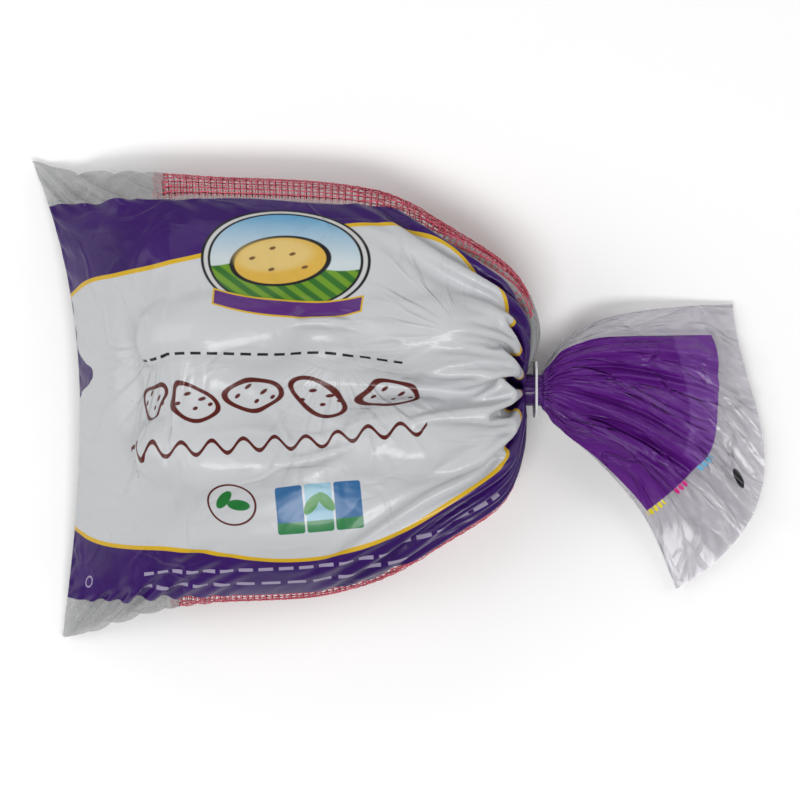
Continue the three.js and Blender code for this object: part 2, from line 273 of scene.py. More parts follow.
def settle(P, target, hold, hu, hv, room, steps, bend, gravity, push, puff, rounds=6):
    """Position-based film: stiff when pulled, it buckles when pushed, and bends easily."""
    nu, nv, _ = P.shape
    hu, hv = hu[..., None], hv[..., None]
    diagonal = np.hypot(hu, hv)
    V = np.zeros_like(P)
    hold = hold[..., None]
    half, columns = nv // 2, np.arange(nv)
    opposite = (half - columns) % nv
    upper = np.arange(-(half // 2) + 1, half // 2) % nv
    lower = (half - np.arange(-(half // 2) + 1, half // 2)) % nv
    for _ in range(steps):
        V *= 0.92
        V[..., 2] -= gravity
        V += puff * unit(np.cross(np.roll(P, -1, 1) - np.roll(P, 1, 1), np.gradient(P, axis=0)))
        Q = P + V
        for _ in range(rounds):
            for s in (0, 1):
                c = link(Q[s : nu - 1 : 2], Q[s + 1 : nu : 2], hu[s : nu - 1 : 2], push, 1.0)
                Q[s : nu - 1 : 2] += c
                Q[s + 1 : nu : 2] -= c
            for s in (0, 1):
                a = np.arange(s, nv, 2)
                b = (a + 1) % nv
                c = link(Q[:, a], Q[:, b], hv, push, 1.0)
                Q[:, a] += c
                Q[:, b] -= c
            for s in (0, 1):
                for turn in (1, -1):
                    b = (columns + turn) % nv
                    rest = diagonal[s : nu - 1 : 2]
                    c = link(Q[s : nu - 1 : 2], Q[s + 1 : nu : 2][:, b], rest, 0.3, 0.5)
                    Q[s : nu - 1 : 2] += c
                    moved = np.zeros_like(c)
                    moved[:, b] = c
                    Q[s + 1 : nu : 2] -= moved
            for s in range(4):
                m = len(Q[s + 2 : nu : 4])
                rest = 2 * hu[s : nu - 2 : 4][:m]
                c = link(Q[s : nu - 2 : 4][:m], Q[s + 2 : nu : 4], rest, bend, 0.0)
                Q[s : nu - 2 : 4][:m] += c
                Q[s + 2 : nu : 4] -= c
                a = np.arange(s, nv, 4)
                b = (a + 2) % nv
                c = link(Q[:, a], Q[:, b], 2 * hv, bend, 0.0)
                Q[:, a] += c
                Q[:, b] -= c
            # The bottom seal joins the two layers.
            Q[0] += 0.25 * (Q[0][opposite] - Q[0])
            Q += hold * (target - Q)
        d, n = room.at(Q)
        hit = d < SKIN_GAP
        Q[hit] += (SKIN_GAP - d[hit])[:, None] * n[hit]
        np.maximum(Q[..., 2], FLOOR_GAP, out=Q[..., 2])
        # The upper layer stays above the lower one.
        lack = np.maximum(0, LAYER_GAP - (Q[:, upper, 2] - Q[:, lower, 2])) * 0.5
        Q[:, upper, 2] += lack
        Q[:, lower, 2] -= lack
        V = Q - P
        V[hit] *= 0.4
        V[Q[..., 2] <= FLOOR_GAP + 0.001] *= 0.3
        V *= np.minimum(1, 3.0 / np.maximum(np.linalg.norm(V, axis=-1, keepdims=True), 1e-6))
        P = Q
    return P


def zigzag(x):
    return 2 * np.abs(2 * (x - np.floor(x + 0.5))) - 1


def film_level(P, spacing, steps, room, pull, everywhere, pleat=False, noise=0.0, **forces):
    rows = int(round(FILM_MOUTH / spacing)) + 1
    columns = int(round(GIRTH / spacing / 4)) * 4
    u = np.linspace(0, FILM_MOUTH, rows)
    v = np.arange(columns) / columns
    L = loft(u, columns)
    target = L.copy()
    # Along the tube the film gives a little towards the loft. Round it, the tail's film lies in
    # flat pleats on itself, so that what shows is only a little slacker than the loft.
    length = np.linalg.norm(np.diff(L, axis=0, append=L[-1:]), axis=2)
    length[-1] = length[-2]
    hu = 0.2 * spacing + 0.8 * np.clip(length, 0.6 * spacing, 1.4 * spacing)
    # The film is drawn straight from the bottom seal up to the potatoes.
    front = np.cos(2 * np.pi * v) > 0.25
    hu *= 1 - 0.13 * np.exp(-(((u[:, None] - 52) / 34) ** 2)) * front
    girth = np.linalg.norm(np.roll(L, -1, 1) - L, axis=2).sum(1, keepdims=True) / columns
    past = np.clip((u[:, None] - FILM_NECK) / 12, 0, 1)
    slack = 1.04 + 0.45 * np.exp(-(u[:, None] - FILM_NECK) / 18 * past)
    hv = GIRTH / columns * (1 - past) + np.minimum(girth * slack, GIRTH / columns) * past
    # The fold lines, the shoulder, the seal and the tail's sides are held near the loft.
    fold = np.exp(-((np.minimum(np.abs(v - 0.25), np.abs(v - 0.75)) * GIRTH / 42) ** 2))[None]
    shoulder = np.exp(-(((u - 305) / 26) ** 2))[:, None]
    start = np.exp(-(((u - FILM_NECK) / 16) ** 2))[:, None]
    hold = np.zeros((rows, columns))
    body, tail = (u > 15) & (u < 322), u > FILM_NECK + 6
    hold[body] = (pull * (everywhere + fold * (0.35 + 1.6 * shoulder) + 0.12 * shoulder))[body]
    hold[tail] = (pull * (everywhere + 0.4 + 1.2 * fold + 0.5 * start))[tail]
    hold += max(pull, 0.03) * (np.exp(-((u / 24) ** 2)) * (u > 0))[:, None]
    gathered = np.abs(u - FILM_NECK) < 6
    hold[0], hold[-1] = 0.3, 0.06
    hold[gathered] = 1.0
    P = L.copy() if P is None else resample(P, rows, columns)
    if pleat:
        warp = 0.5 * np.sin(2 * np.pi * (3 * v + 0.1)) + 0.35 * np.sin(2 * np.pi * (7 * v + 0.6))
        close = zigzag(28 * v + warp)
        wide = zigzag(13 * v + 1.3 * warp + 0.2) * (0.75 + 0.35 * np.sin(2 * np.pi * (2 * v + 0.3)))
        outward = unit(np.cross(np.roll(L, -1, 1) - np.roll(L, 1, 1), np.gradient(L, axis=0)))
        angle = np.pi / 2 - 2 * np.pi * v
        r = 0.56 + 0.44 * close * (1 + 0.12 * rng.standard_normal(columns))
        star = np.stack(
            [0 * v, NECK_HALF[0] * r * np.cos(angle), NECK_HALF[1] * r * np.sin(angle)], -1
        )
        for i in np.where(gathered)[0]:
            target[i] = NECK + star + [u[i] - FILM_NECK, 0, 0]
        d = np.abs(u - FILM_NECK)[:, None]
        near_neck = 3.5 * np.exp(-((d / np.where(u[:, None] > FILM_NECK, 13, 20)) ** 2)) * (d >= 6)
        further = np.where(
            (u > FILM_NECK)[:, None],
            1.6 * (1 - np.exp(-((d / 30) ** 2))),
            4.0 * np.exp(-(((d - 30) / 30) ** 2)),
        )
        flat = from_middle(v * GIRTH)
        folds = sum(
            h * np.exp(-(((flat - at) / w) ** 2))
            for at, w, h in ((-92, 14, 4), (-56, 6, -7), (-26, 16, 9), (14, 6, -5),
                             (48, 17, 5), (88, 7, -4), (-170, 12, 3), (190, 14, 3), (250, 10, 3))
        )
        broad = folds * np.clip((u[:, None] - FILM_NECK - 8) / 25, 0, 1)
        P = P + outward * (near_neck * close + further * (d >= 6) * wide + broad)[..., None]
        target = target + outward * broad[..., None]
        P[gathered] = target[gathered]
    P = P + rng.standard_normal(P.shape) * noise
    return settle(P, target, hold, hu, hv, room, steps, **forces)


def film_tube(room):
    P = film_level(None, 8, 140, room, 0.06, 1, bend=0.05, gravity=0.02, push=0.05, puff=0.02)
    P = film_level(P, 4, 150, room, 0.04, 0, pleat=True, noise=0.4,
                   bend=0.12, gravity=0.02, push=0.5, puff=0.015)
    P = film_level(P, 2.5, 70, room, 0.02, 0, noise=0.06,
                   bend=0.12, gravity=0.02, push=0.8, puff=0.008)
    return P


def eased_bottom(P, room):
    """From the bottom seal up, the front film spans straight to the potatoes."""
    whole, P = P, P[: int(110 / STEP)]
    u = (np.arange(len(P)) * STEP)[:, None]
    v = from_middle(np.arange(P.shape[1]) * STEP)[None]
    outward = unit(np.cross(np.roll(P, -1, 1) - np.roll(P, 1, 1), np.gradient(P, axis=0)))
    soft = P.copy()
    share = np.clip((u - 4) / 18, 0, 1) * np.clip((100 - u) / 18, 0, 1)
    share = (share * np.clip((118 - np.abs(v)) / 22, 0, 1))[..., None]
    free = share[..., 0] > 0
    for step in range(260):
        middle = (np.roll(soft, 1, 0) + np.roll(soft, -1, 0)) / 2
        soft = soft + share * (middle - soft)
        move = soft - P
        inward = np.minimum((move * outward).sum(-1), 0) * np.clip((u - 46) / 14, 0, 1)
        soft = soft - outward * (inward * free)[..., None]
        # Every eighth step, the last one among them, also clears the potatoes.
        if step % 8 == 3:
            gap, away = room.at(soft)
            soft = soft + away * (np.clip(EASED_GAP - gap, 0, 6) * free)[..., None]
    return np.concatenate([soft, whole[len(P) :]])


def eased_tail(P):
    """Past the clip, the fine pleats open out and only the broad folds are left."""
    sigma = 6.0 / STEP
    k = np.arange(-12, 13)
    w = np.exp(-0.5 * (k / sigma) ** 2)
    soft = sum(wi * np.roll(P, ki, 1) for wi, ki in zip(w / w.sum(), k))
    u = np.arange(len(P)) * STEP
    share = np.clip((u - FILM_NECK - 10) / 38, 0, 0.9)[:, None, None]
    P = P * (1 - share) + soft * share
    # The upper layer's own folds run slightly askew down the tail.
    j = np.arange(P.shape[1])
    v = from_middle(j * STEP)[None]
    run = (u[:, None] - FILM_NECK) / (FILM_MOUTH - FILM_NECK)
    lift = np.zeros(P.shape[:2])
    for at, lean, w, h in ((-96, 14, 9, 3.5), (-66, 8, 4, -3.5), (-34, -16, 13, 7.0),
                           (-8, -30, 4, -3.0), (24, 22, 6, 3.0), (50, -8, 4, -2.5),
                           (74, 10, 11, 4.5), (100, 4, 4, -2.0)):
        lift += h * np.exp(-(((v - at - lean * run) / w) ** 2))
    wavy = 1 + 0.35 * np.sin(11 * run + 0.07 * v)
    lift *= wavy * np.clip(run / 0.3 - 0.25, 0, 1) * np.clip((128 - np.abs(v)) / 12, 0, 1)
    under = P[:, (len(j) // 2 - j) % len(j), 2]
    tail = (run > 0) & (np.abs(v) < 128)
    P[..., 2] = np.where(tail, np.maximum(P[..., 2] + lift, under + 1.2), P[..., 2])
    return P


STEP = 1.25
ROWS, COLUMNS = int(FILM_MOUTH / STEP) + 1, int(GIRTH / STEP)
room = Room(potatoes)
tube = eased_tail(eased_bottom(resample(film_tube(room), ROWS, COLUMNS), room))
tube[..., 2] = np.maximum(tube[..., 2], 0.25)


# ---- Film panels, cut from the tube, with their flat film coordinates as a UV map ----
def film_panel(name, node, low, high, left, right):
    i = np.arange(int(round(low / STEP)), int(round(high / STEP)) + 1)
    j = np.arange(int(round(left / STEP)), int(round(right / STEP)) + 1)
    verts = (tube[np.ix_(i, j % COLUMNS)].reshape(-1, 3) + SHIFT) * MM
    index = np.arange(len(i) * len(j)).reshape(len(i), len(j))
    a, b = index[:-1], index[1:]
    faces = np.stack([a[:, :-1], b[:, :-1], b[:, 1:], a[:, 1:]], -1).reshape(-1, 4)
    obj = mesh_object(name, verts, faces)
    flat = np.stack(np.meshgrid(i * STEP, j * STEP, indexing="ij"), -1).reshape(-1, 2)
    layer = obj.data.uv_layers.new(name="film")
    layer.data.foreach_set("uv", flat[faces.ravel()].ravel())
    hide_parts(node)
    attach(obj, "root")
    return obj


front = film_panel(
    "front_film", "printed_front_film", 0, FILM_MOUTH, PRINT_LEFT, PRINT_RIGHT
)
bottom = film_panel(
    "bottom_film", "clear_bottom_film", 0, NET_FROM + 5, PRINT_RIGHT,
    GIRTH + PRINT_LEFT,
)
tail = film_panel(
    "neck_and_tail_film", "clear_neck_and_tail_film", NET_TO - 5, FILM_MOUTH,
    PRINT_RIGHT, GIRTH + PRINT_LEFT,
)


# ---- Net: real strands laid along the tube ----
def on_tube(u, v):
    """Point and outward normal of the tube at film coordinates, in millimetres."""
    x, y = np.clip(u / STEP, 0, ROWS - 1.001), v / STEP
    i, j = np.floor(x).astype(int), np.floor(y).astype(int)
    s, t = (x - i)[:, None], (y - j)[:, None]
    at = lambda a, b: tube[i + a, (j + b) % COLUMNS]
    p = (at(0, 0) * (1 - s) + at(1, 0) * s) * (1 - t) + (at(0, 1) * (1 - s) + at(1, 1) * s) * t
    along, round_ = at(1, 0) - at(0, 0), at(0, 1) - at(0, 0)
    return p, unit(np.cross(along, round_))


def strands():
    verts, faces, total = [], [], 0
    lines = []
    pitch_v, pitch_u = 4.05, 3.35
    for k, v in enumerate(np.arange(PRINT_RIGHT - 28, GIRTH + PRINT_LEFT + 4, pitch_v)):
        u = np.arange(NET_FROM - 1, NET_TO + 1, pitch_u / 2)
        weave = 0.22 * np.cos(np.pi * (u - NET_FROM) / pitch_u + np.pi * k)
        lines.append((u, np.full_like(u, v), weave, 0.46, 0.26))
    for k, u in enumerate(np.arange(NET_FROM, NET_TO, pitch_u)):
        v = np.arange(PRINT_RIGHT - 29, GIRTH + PRINT_LEFT + 5, pitch_v / 2)
        weave = 0.22 * np.cos(np.pi * (v - PRINT_RIGHT + 28) / pitch_v + np.pi * (k + 1))
        lines.append((np.full_like(v, u), v, weave, 0.34, 0.24))
    for u, v, weave, wide, thick in lines:
        p, n = on_tube(u, v)
        # The net runs just inside the tube and under the panels that it is sealed to, but over
        # the clear margin of the printed film at the far shoulder.
        side = np.minimum(v - PRINT_RIGHT, GIRTH + PRINT_LEFT - v)
        edge = np.minimum(side, np.minimum(u - NET_FROM - 4, NET_TO - 4 - u))
        depth = -0.35 - 0.4 * np.clip(1 - edge / 3, 0, 1)
        margin = np.interp(u, *np.transpose(FAR_MARGIN)) + 1.0
        over = (v > margin) & (v < PRINT_RIGHT + 6) & (u > 236)
        p = p + n * (weave + np.where(over, 0.35, depth))[:, None]
        t = unit(np.gradient(p, axis=0))
        b = unit(np.cross(n, t))
        ring = np.stack([p + b * wide, p + n * thick, p - b * wide, p - n * thick], 1)
        m = len(p)
        base = total + np.arange(m - 1)[:, None] * 4
        for k in range(4):
            a, c = base[:, 0] + k, base[:, 0] + (k + 1) % 4
            faces.append(np.stack([a, c, c + 4, a + 4], -1))
        verts.append(ring.reshape(-1, 3))
        total += 4 * m
    return np.concatenate(verts), np.concatenate(faces)


net_verts, net_faces = strands()
net_verts[:, 2] = np.maximum(net_verts[:, 2], 0.05)
net = mesh_object("net_strands", (net_verts + SHIFT) * MM, net_faces)
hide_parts("net_back_panel")
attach(net, "root")


# ---- Materials ----
class Graph:
    def __init__(self, name):
        self.material = bpy.data.materials.new(name)
        self.material.use_nodes = True
        self.tree = self.material.node_tree
        self.tree.nodes.clear()

    def node(self, kind, **settings):
        n = self.tree.nodes.new(kind)
        for key, value in settings.items():
            setattr(n, key, value)
        return n

    def put(self, value, socket):
        if isinstance(value, bpy.types.NodeSocket):
            self.tree.links.new(value, socket)
        else:
            socket.default_value = value

    def math(self, operation, a, b=0.0, c=0.0):
        n = self.node("ShaderNodeMath", operation=operation)
        for value, socket in zip((a, b, c), n.inputs):
            self.put(value, socket)
        return n.outputs[0]

    def add(self, a, b):
        return self.math("ADD", a, b)

    def sub(self, a, b):
        return self.math("SUBTRACT", a, b)

    def mul(self, a, b):
        return self.math("MULTIPLY", a, b)

    def low(self, a, b):
        return self.math("MINIMUM", a, b)

    def high(self, a, b):
        return self.math("MAXIMUM", a, b)

    def soft(self, a, b, size):
        return self.math("SMOOTH_MIN", a, b, size)

    def mask(self, distance, edge=0.5):
        """1 inside, where distance is above 0, with an edge that wide."""
        n = self.node("ShaderNodeMapRange", interpolation_type="SMOOTHSTEP")
        self.put(distance, n.inputs["Value"])
        n.inputs["From Min"].default_value = -edge / 2
        n.inputs["From Max"].default_value = edge / 2
        return n.outputs["Result"]

    def map(self, value, from_low, from_high, to_low, to_high):
        n = self.node("ShaderNodeMapRange")
        self.put(value, n.inputs["Value"])
        for key, v in zip(("From Min", "From Max", "To Min", "To Max"),
                          (from_low, from_high, to_low, to_high)):
            n.inputs[key].default_value = v
        return n.outputs["Result"]

    def colour(self, factor, a, b, blend="MIX"):
        n = self.node("ShaderNodeMix", data_type="RGBA", blend_type=blend)
        self.put(factor, n.inputs[0])
        for value, socket in ((a, n.inputs[6]), (b, n.inputs[7])):
            self.put((*value, 1) if isinstance(value, tuple) and len(value) == 3 else value, socket)
        return n.outputs[2]

    def noise(self, vector, scale, detail=3.0, roughness=0.55, distortion=0.0):
        n = self.node("ShaderNodeTexNoise")
        self.put(vector, n.inputs["Vector"])
        n.inputs["Scale"].default_value = scale
        n.inputs["Detail"].default_value = detail
        n.inputs["Roughness"].default_value = roughness
        n.inputs["Distortion"].default_value = distortion
        return n.outputs["Fac"]

    def scaled(self, vector, scale):
        n = self.node("ShaderNodeVectorMath", operation="MULTIPLY")
        self.put(vector, n.inputs[0])
        n.inputs[1].default_value = scale
        return n.outputs[0]

    def bump(self, height, distance, strength=1.0, normal=None):
        n = self.node("ShaderNodeBump")
        self.put(strength, n.inputs["Strength"])
        n.inputs["Distance"].default_value = distance
        self.put(height, n.inputs["Height"])
        if normal is not None:
            self.put(normal, n.inputs["Normal"])
        return n.outputs[0]

    def principled(self, **inputs):
        n = self.node("ShaderNodeBsdfPrincipled")
        for key, value in inputs.items():
            self.put(value, n.inputs[key.replace("_", " ")])
        return n.outputs[0]

    def finish(self, shader):
        out = self.node("ShaderNodeOutputMaterial")
        self.tree.links.new(shader, out.inputs["Surface"])
        return self.material


def film_coordinates(g):
    uv = g.node("ShaderNodeUVMap", uv_map="film")
    split = g.node("ShaderNodeSeparateXYZ")
    g.put(uv.outputs[0], split.inputs[0])
    return uv.outputs[0], split.outputs[0], split.outputs[1]


def crinkles(g, flat):
    """Thin film's relief: long sharp draws, shorter creases between them and a faint ripple."""
    swirl = g.node("ShaderNodeTexNoise")
    g.put(flat, swirl.inputs["Vector"])
    swirl.inputs["Scale"].default_value = 0.012
    wander = g.node("ShaderNodeVectorMath", operation="ADD")
    g.put(flat, wander.inputs[0])
    g.put(g.scaled(swirl.outputs["Color"], (90, 90, 0)), wander.inputs[1])
    where = wander.outputs[0]
    split = g.node("ShaderNodeSeparateXYZ")
    g.put(flat, split.inputs[0])
    firm = g.map(split.outputs[0], 330, 370, 1.0, 2.8)
    normal = None
    for scale, width, depth, strength in (
        ((0.016, 0.008, 1), 0.045, 0.0015, 0.4),
        ((0.009, 0.03, 1), 0.05, 0.0009, 0.4),
        ((0.045, 0.03, 1), 0.08, 0.0003, 0.3),
    ):
        n = g.noise(g.scaled(where, scale), 1.0, 2.0, 0.5)
        ridge = g.map(g.math("ABSOLUTE", g.sub(n, 0.5)), 0, width, 1, 0)
        side = g.math("SMOOTH_MIN", ridge, 0.85, 0.3)
        normal = g.bump(side, depth, g.mul(firm, strength), normal)
    # Where the film is drawn tight over a potato, fine creases fan out from it.
    for x, y, reach, turn in ((196, 22, 95, -1.57), (96, 30, 80, -2.2), (262, 40, 70, 2.6)):
        dx, dy = g.sub(split.outputs[0], x), g.sub(split.outputs[1], y)
        r = g.math("SQRT", g.add(g.mul(dx, dx), g.mul(dy, dy)))
        c, s = math.cos(turn), math.sin(turn)
        angle = g.math("ARCTAN2", g.sub(g.mul(dy, c), g.mul(dx, s)),
                       g.add(g.mul(dx, c), g.mul(dy, s)))
        polar = g.node("ShaderNodeCombineXYZ")
        g.put(g.mul(angle, 3.4), polar.inputs[0])
        g.put(g.mul(r, 0.012), polar.inputs[1])
        g.put(x, polar.inputs[2])
        n = g.noise(polar.outputs[0], 1.0, 2.0, 0.5)
        ridge = g.map(g.math("ABSOLUTE", g.sub(n, 0.5)), 0, 0.09, 1, 0)
        window = g.mul(g.map(r, 10, 32, 0, 1), g.map(r, reach * 0.6, reach, 1, 0))
        window = g.mul(window, g.map(g.math("ABSOLUTE", angle), 0.7, 1.2, 1, 0))
        normal = g.bump(g.mul(ridge, window), 0.0018, 0.5, normal)
    ripple = g.noise(g.scaled(where, (0.12, 0.08, 1)), 1.0, 3.0, 0.5, 0.4)
    return g.bump(ripple, 0.0003, 0.3, normal)


def clear_shader(g, flat, u, normal):
    haze = g.noise(flat, 0.03, 4.0, 0.6, 0.8)
    tint = g.colour(g.map(u, 330, 380, 0, 1), (0.40, 0.405, 0.41), (0.50, 0.475, 0.53))
    return g.principled(
        Base_Color=tint, Roughness=g.map(haze, 0.3, 0.7, 0.1, 0.24), Normal=normal, IOR=1.5,
        Alpha=g.map(haze, 0.3, 0.7, 0.42, 0.58), Coat_Weight=0.3, Coat_Roughness=0.06,
    )


def clear_film():
    g = Graph("clear_film")
    flat, u, _ = film_coordinates(g)
    return g.finish(clear_shader(g, flat, u, crinkles(g, flat)))


def ellipse(g, u, v, centre, radii, turn=0.0):
    """Distance inside an ellipse, about right in millimetres near its edge."""
    x, y = g.sub(u, centre[0]), g.sub(v, centre[1])
    c, s = math.cos(turn), math.sin(turn)
    a = g.add(g.mul(x, c / radii[0]), g.mul(y, s / radii[0]))
    b = g.add(g.mul(x, -s / radii[1]), g.mul(y, c / radii[1]))
    r = g.math("SQRT", g.add(g.mul(a, a), g.mul(b, b)))
    return g.mul(g.sub(1.0, r), min(radii))


def block(g, u, v, centre, half, corner):
    """Distance inside a rectangle with round corners."""
    x = g.sub(g.math("ABSOLUTE", g.sub(u, centre[0])), half[0] - corner)
    y = g.sub(g.math("ABSOLUTE", g.sub(v, centre[1])), half[1] - corner)
    px, py = g.high(x, 0.0), g.high(y, 0.0)
    out = g.math("SQRT", g.add(g.mul(px, px), g.mul(py, py)))
    return g.sub(corner, g.add(out, g.low(g.high(x, y), 0.0)))


def curve_over(g, value, low, high, points, bottom, top):
    """A smooth curve through points (value, result), drawn with a curve node."""
    n = g.node("ShaderNodeFloatCurve")
    g.put(g.map(value, low, high, 0, 1), n.inputs["Value"])
    curve = n.mapping.curves[0]
    scaled = [((x - low) / (high - low), (y - bottom) / (top - bottom)) for x, y in points]
    curve.points[0].location = scaled[0]
    curve.points[1].location = scaled[-1]
    for x, y in scaled[1:-1]:
        curve.points.new(x, y)
    n.mapping.update()
    return g.map(n.outputs[0], 0, 1, bottom, top)


PURPLE = (0.036, 0.0055, 0.118)
PURPLE_DEEP = (0.026, 0.004, 0.09)
PURPLE_TAIL = (0.095, 0.008, 0.19)
PURPLE_BAND = (0.15, 0.045, 0.27)
WHITE = (0.50, 0.51, 0.525)
GOLD = (0.58, 0.36, 0.015)
BROWN = (0.082, 0.009, 0.006)
DARK = (0.012, 0.012, 0.014)
PALE = (0.5, 0.5, 0.5)


def printed_film():
    g = Graph("printed_film")
    flat, u, v = film_coordinates(g)
    normal = crinkles(g, flat)
    tone = g.noise(flat, 0.02, 3.0)
    ink = g.colour(g.map(tone, 0.35, 0.65, 0, 1), PURPLE_DEEP, PURPLE)
    ink = g.colour(g.map(u, 325, 350, 0, 1), ink, PURPLE_TAIL)
    lighter = g.low(g.sub(u, 422.0), g.sub(v, -50.0))
    ink = g.colour(g.mul(g.mask(lighter, 2), 0.8), ink, PURPLE_BAND)

    # The white panel between two gold lines that meet in a round end.
    upper = curve_over(g, u, 0, 320, [(0, 56), (27, 66), (59, 69), (100, 72), (155, 86),
                                     (208, 99), (240, 103), (275, 98), (320, 84)], 0, 130)
    lower = curve_over(g, u, 0, 320, [(0, -73), (20, -80), (50, -86), (112, -91), (170, -100),
                                     (215, -94), (257, -80), (290, -70), (320, -66)], -130, 0)
    ahead = curve_over(g, v, -110, 110, [(-110, 262), (-70, 292), (-20, 310), (30, 306),
                                        (70, 286), (110, 240)], 200, 330)
    behind = curve_over(g, v, -110, 110, [(-110, -3), (-6, -3), (2, 3), (10, 17), (15, 21),
                                         (20, 12), (29, 2), (56, 0.5), (70, -3), (110, -3)], -10, 60)
    inside = g.soft(g.soft(g.sub(upper, v), g.sub(v, lower), 2.0), g.sub(ahead, u), 14.0)
    ink = g.colour(g.mask(g.low(g.add(inside, 2.6), g.sub(u, behind))), ink, GOLD)
    ink = g.colour(g.mask(g.low(inside, g.sub(u, behind))), ink, WHITE)

    # The badge: an oval with a triple rim, a plain sky and field, one potato, and a band below.
    badge = ellipse(g, u, v, (164, 76), (46, 31))
    for depth, tint in ((0.0, DARK), (1.1, PALE), (2.6, DARK)):
        ink = g.colour(g.mask(g.sub(badge, depth)), ink, tint)
    sky = g.colour(g.map(v, 76, 104, 0, 1), (0.5, 0.56, 0.58), (0.09, 0.3, 0.5))
    hill = g.add(74.0, g.mul(g.math("SINE", g.mul(u, 0.09)), 3.0))
    stripe = g.math("SINE", g.mul(g.add(u, g.mul(v, 1.4)), 0.55))
    grass = g.colour(g.map(stripe, -0.4, 0.4, 0, 1), (0.03, 0.13, 0.02), (0.13, 0.26, 0.02))
    field = g.colour(g.mask(g.sub(hill, v), 0.8), sky, grass)
    ink = g.colour(g.mask(g.sub(badge, 3.6)), ink, field)
    potato = ellipse(g, u, v, (162, 75), (25, 13), 0.12)
    ink = g.colour(g.mask(g.add(potato, 1.4)), ink, DARK)
    ink = g.colour(g.mask(potato), ink, (0.58, 0.36, 0.06))
    shade = ellipse(g, u, v, (159, 78), (21, 9), 0.12)
    ink = g.colour(g.mask(shade, 4.0), ink, (0.62, 0.45, 0.16))
    for centre in ((147, 76), (158, 70), (169, 79), (176, 72), (158, 82)):
        eye = ellipse(g, u, v, centre, (1.8, 0.9), 0.3)
        ink = g.colour(g.mask(eye), ink, (0.16, 0.08, 0.03))
    bend = g.math("POWER", g.math("ABSOLUTE", g.mul(g.sub(u, 167.0), 0.06)), 2.0)
    band = g.sub(5.2, g.math("ABSOLUTE", g.sub(v, g.add(47.0, bend))))
    band = g.low(band, g.sub(41.0, g.math("ABSOLUTE", g.sub(u, 167.0))))
    ink = g.colour(g.mask(band), ink, GOLD)
    ink = g.colour(g.mask(g.sub(band, 1.0)), ink, (0.085, 0.02, 0.16))

    # A dark dotted rule.
    dot = g.sub(g.math("MODULO", u, 9.4), 4.7)
    rule = g.low(g.sub(3.0, g.math("ABSOLUTE", dot)), g.sub(0.8, g.math("ABSOLUTE", g.sub(v, 21.0))))
    rule = g.low(rule, g.low(g.sub(u, 77.0), g.sub(232.0, u)))
    ink = g.colour(g.mask(rule, 0.4), ink, DARK)

    # Potatoes drawn in brown line along a row, over a brown wave.
    bent_u = g.add(u, g.mul(g.math("SINE", g.add(g.mul(v, 0.3), g.mul(u, 0.11))), 2.4))
    bent_v = g.add(v, g.mul(g.math("SINE", g.mul(u, 0.17)), 1.8))
    for x, y, a, b, turn in (
        (81, -3, 14, 9.5, 0.35), (115, -5, 16, 10, -0.2), (151, -2, 16, 9.5, 0.2),
        (187, -5, 16, 10.5, -0.3), (225, -4, 17, 10, 0.25),
    ):
        shape = ellipse(g, bent_u, bent_v, (x, y), (a, b), turn)
        line = g.sub(1.15, g.math("ABSOLUTE", g.sub(shape, 0.9)))
        ink = g.colour(g.mask(line), ink, BROWN)
        for dx, dy, wide in ((-9, -1, 1.8), (-3, 4, 2.2), (2, -4, 1.6), (6, 1, 2.4), (11, -2, 1.5)):
            eye = ellipse(g, u, v, (x + dx, y + dy), (wide, 1.0), turn + 0.4)
            ink = g.colour(g.mask(eye), ink, BROWN)
    wave = g.add(-31.0, g.mul(g.math("SINE", g.mul(u, 0.36)), 3.6))
    wave = g.sub(1.2, g.math("ABSOLUTE", g.sub(v, wave)))
    wave = g.low(wave, g.low(g.sub(u, 54.0), g.sub(246.0, u)))
    ink = g.colour(g.mask(wave), ink, BROWN)

    # A round leaf mark, and three plain blue and green tiles, one with two leaves.
    seal = ellipse(g, u, v, (135, -65), (14.5, 12.5), -0.5)
    ink = g.colour(g.mask(seal), ink, BROWN)
    ink = g.colour(g.mask(g.sub(seal, 1.1)), ink, WHITE)
    for centre, turn in (((131, -62), 0.9), ((139, -66), -0.2)):
        leaf = ellipse(g, u, v, centre, (6.5, 3.2), turn)
        ink = g.colour(g.mask(leaf), ink, (0.012, 0.15, 0.03))
    tile_blue = (0.03, 0.12, 0.28)
    for centre, tint in ((167, tile_blue), (183, (0.22, 0.4, 0.5)), (199, tile_blue)):
        tile = block(g, u, v, (centre, -71), (7.4, 13.5), 1.5)
        ink = g.colour(g.mask(tile), ink, tint)
        ink = g.colour(g.mask(g.low(tile, g.sub(-78.0, v))), ink, (0.02, 0.17, 0.05))
    for centre, turn in (((179, -69), 0.9), ((187, -68), -0.9)):
        leaf = ellipse(g, u, v, centre, (6.5, 3.0), turn)
        ink = g.colour(g.mask(leaf), ink, (0.03, 0.2, 0.03))

    # Pale dashes along the near edge of the purple, and a small ring.
    for row, start, end, pace in ((-107.0, 70.0, 284.0, 11.0), (-119.0, 66.0, 256.0, 14.0)):
        dash = g.sub(g.math("MODULO", g.add(u, -row), pace), pace / 2)
        dash = g.sub(pace * 0.36, g.math("ABSOLUTE", dash))
        dash = g.low(dash, g.sub(1.2, g.math("ABSOLUTE", g.sub(v, row))))
        dash = g.low(dash, g.low(g.sub(u, start), g.sub(end, u)))
        ink = g.colour(g.mul(g.mask(dash), 0.75), ink, (0.42, 0.37, 0.5))
    ring = ellipse(g, u, v, (20, -107), (3.6, 3.6))
    ring = g.low(ring, g.sub(1.0, ring))
    ink = g.colour(g.mul(g.mask(ring, 0.4), 0.75), ink, (0.42, 0.37, 0.5))

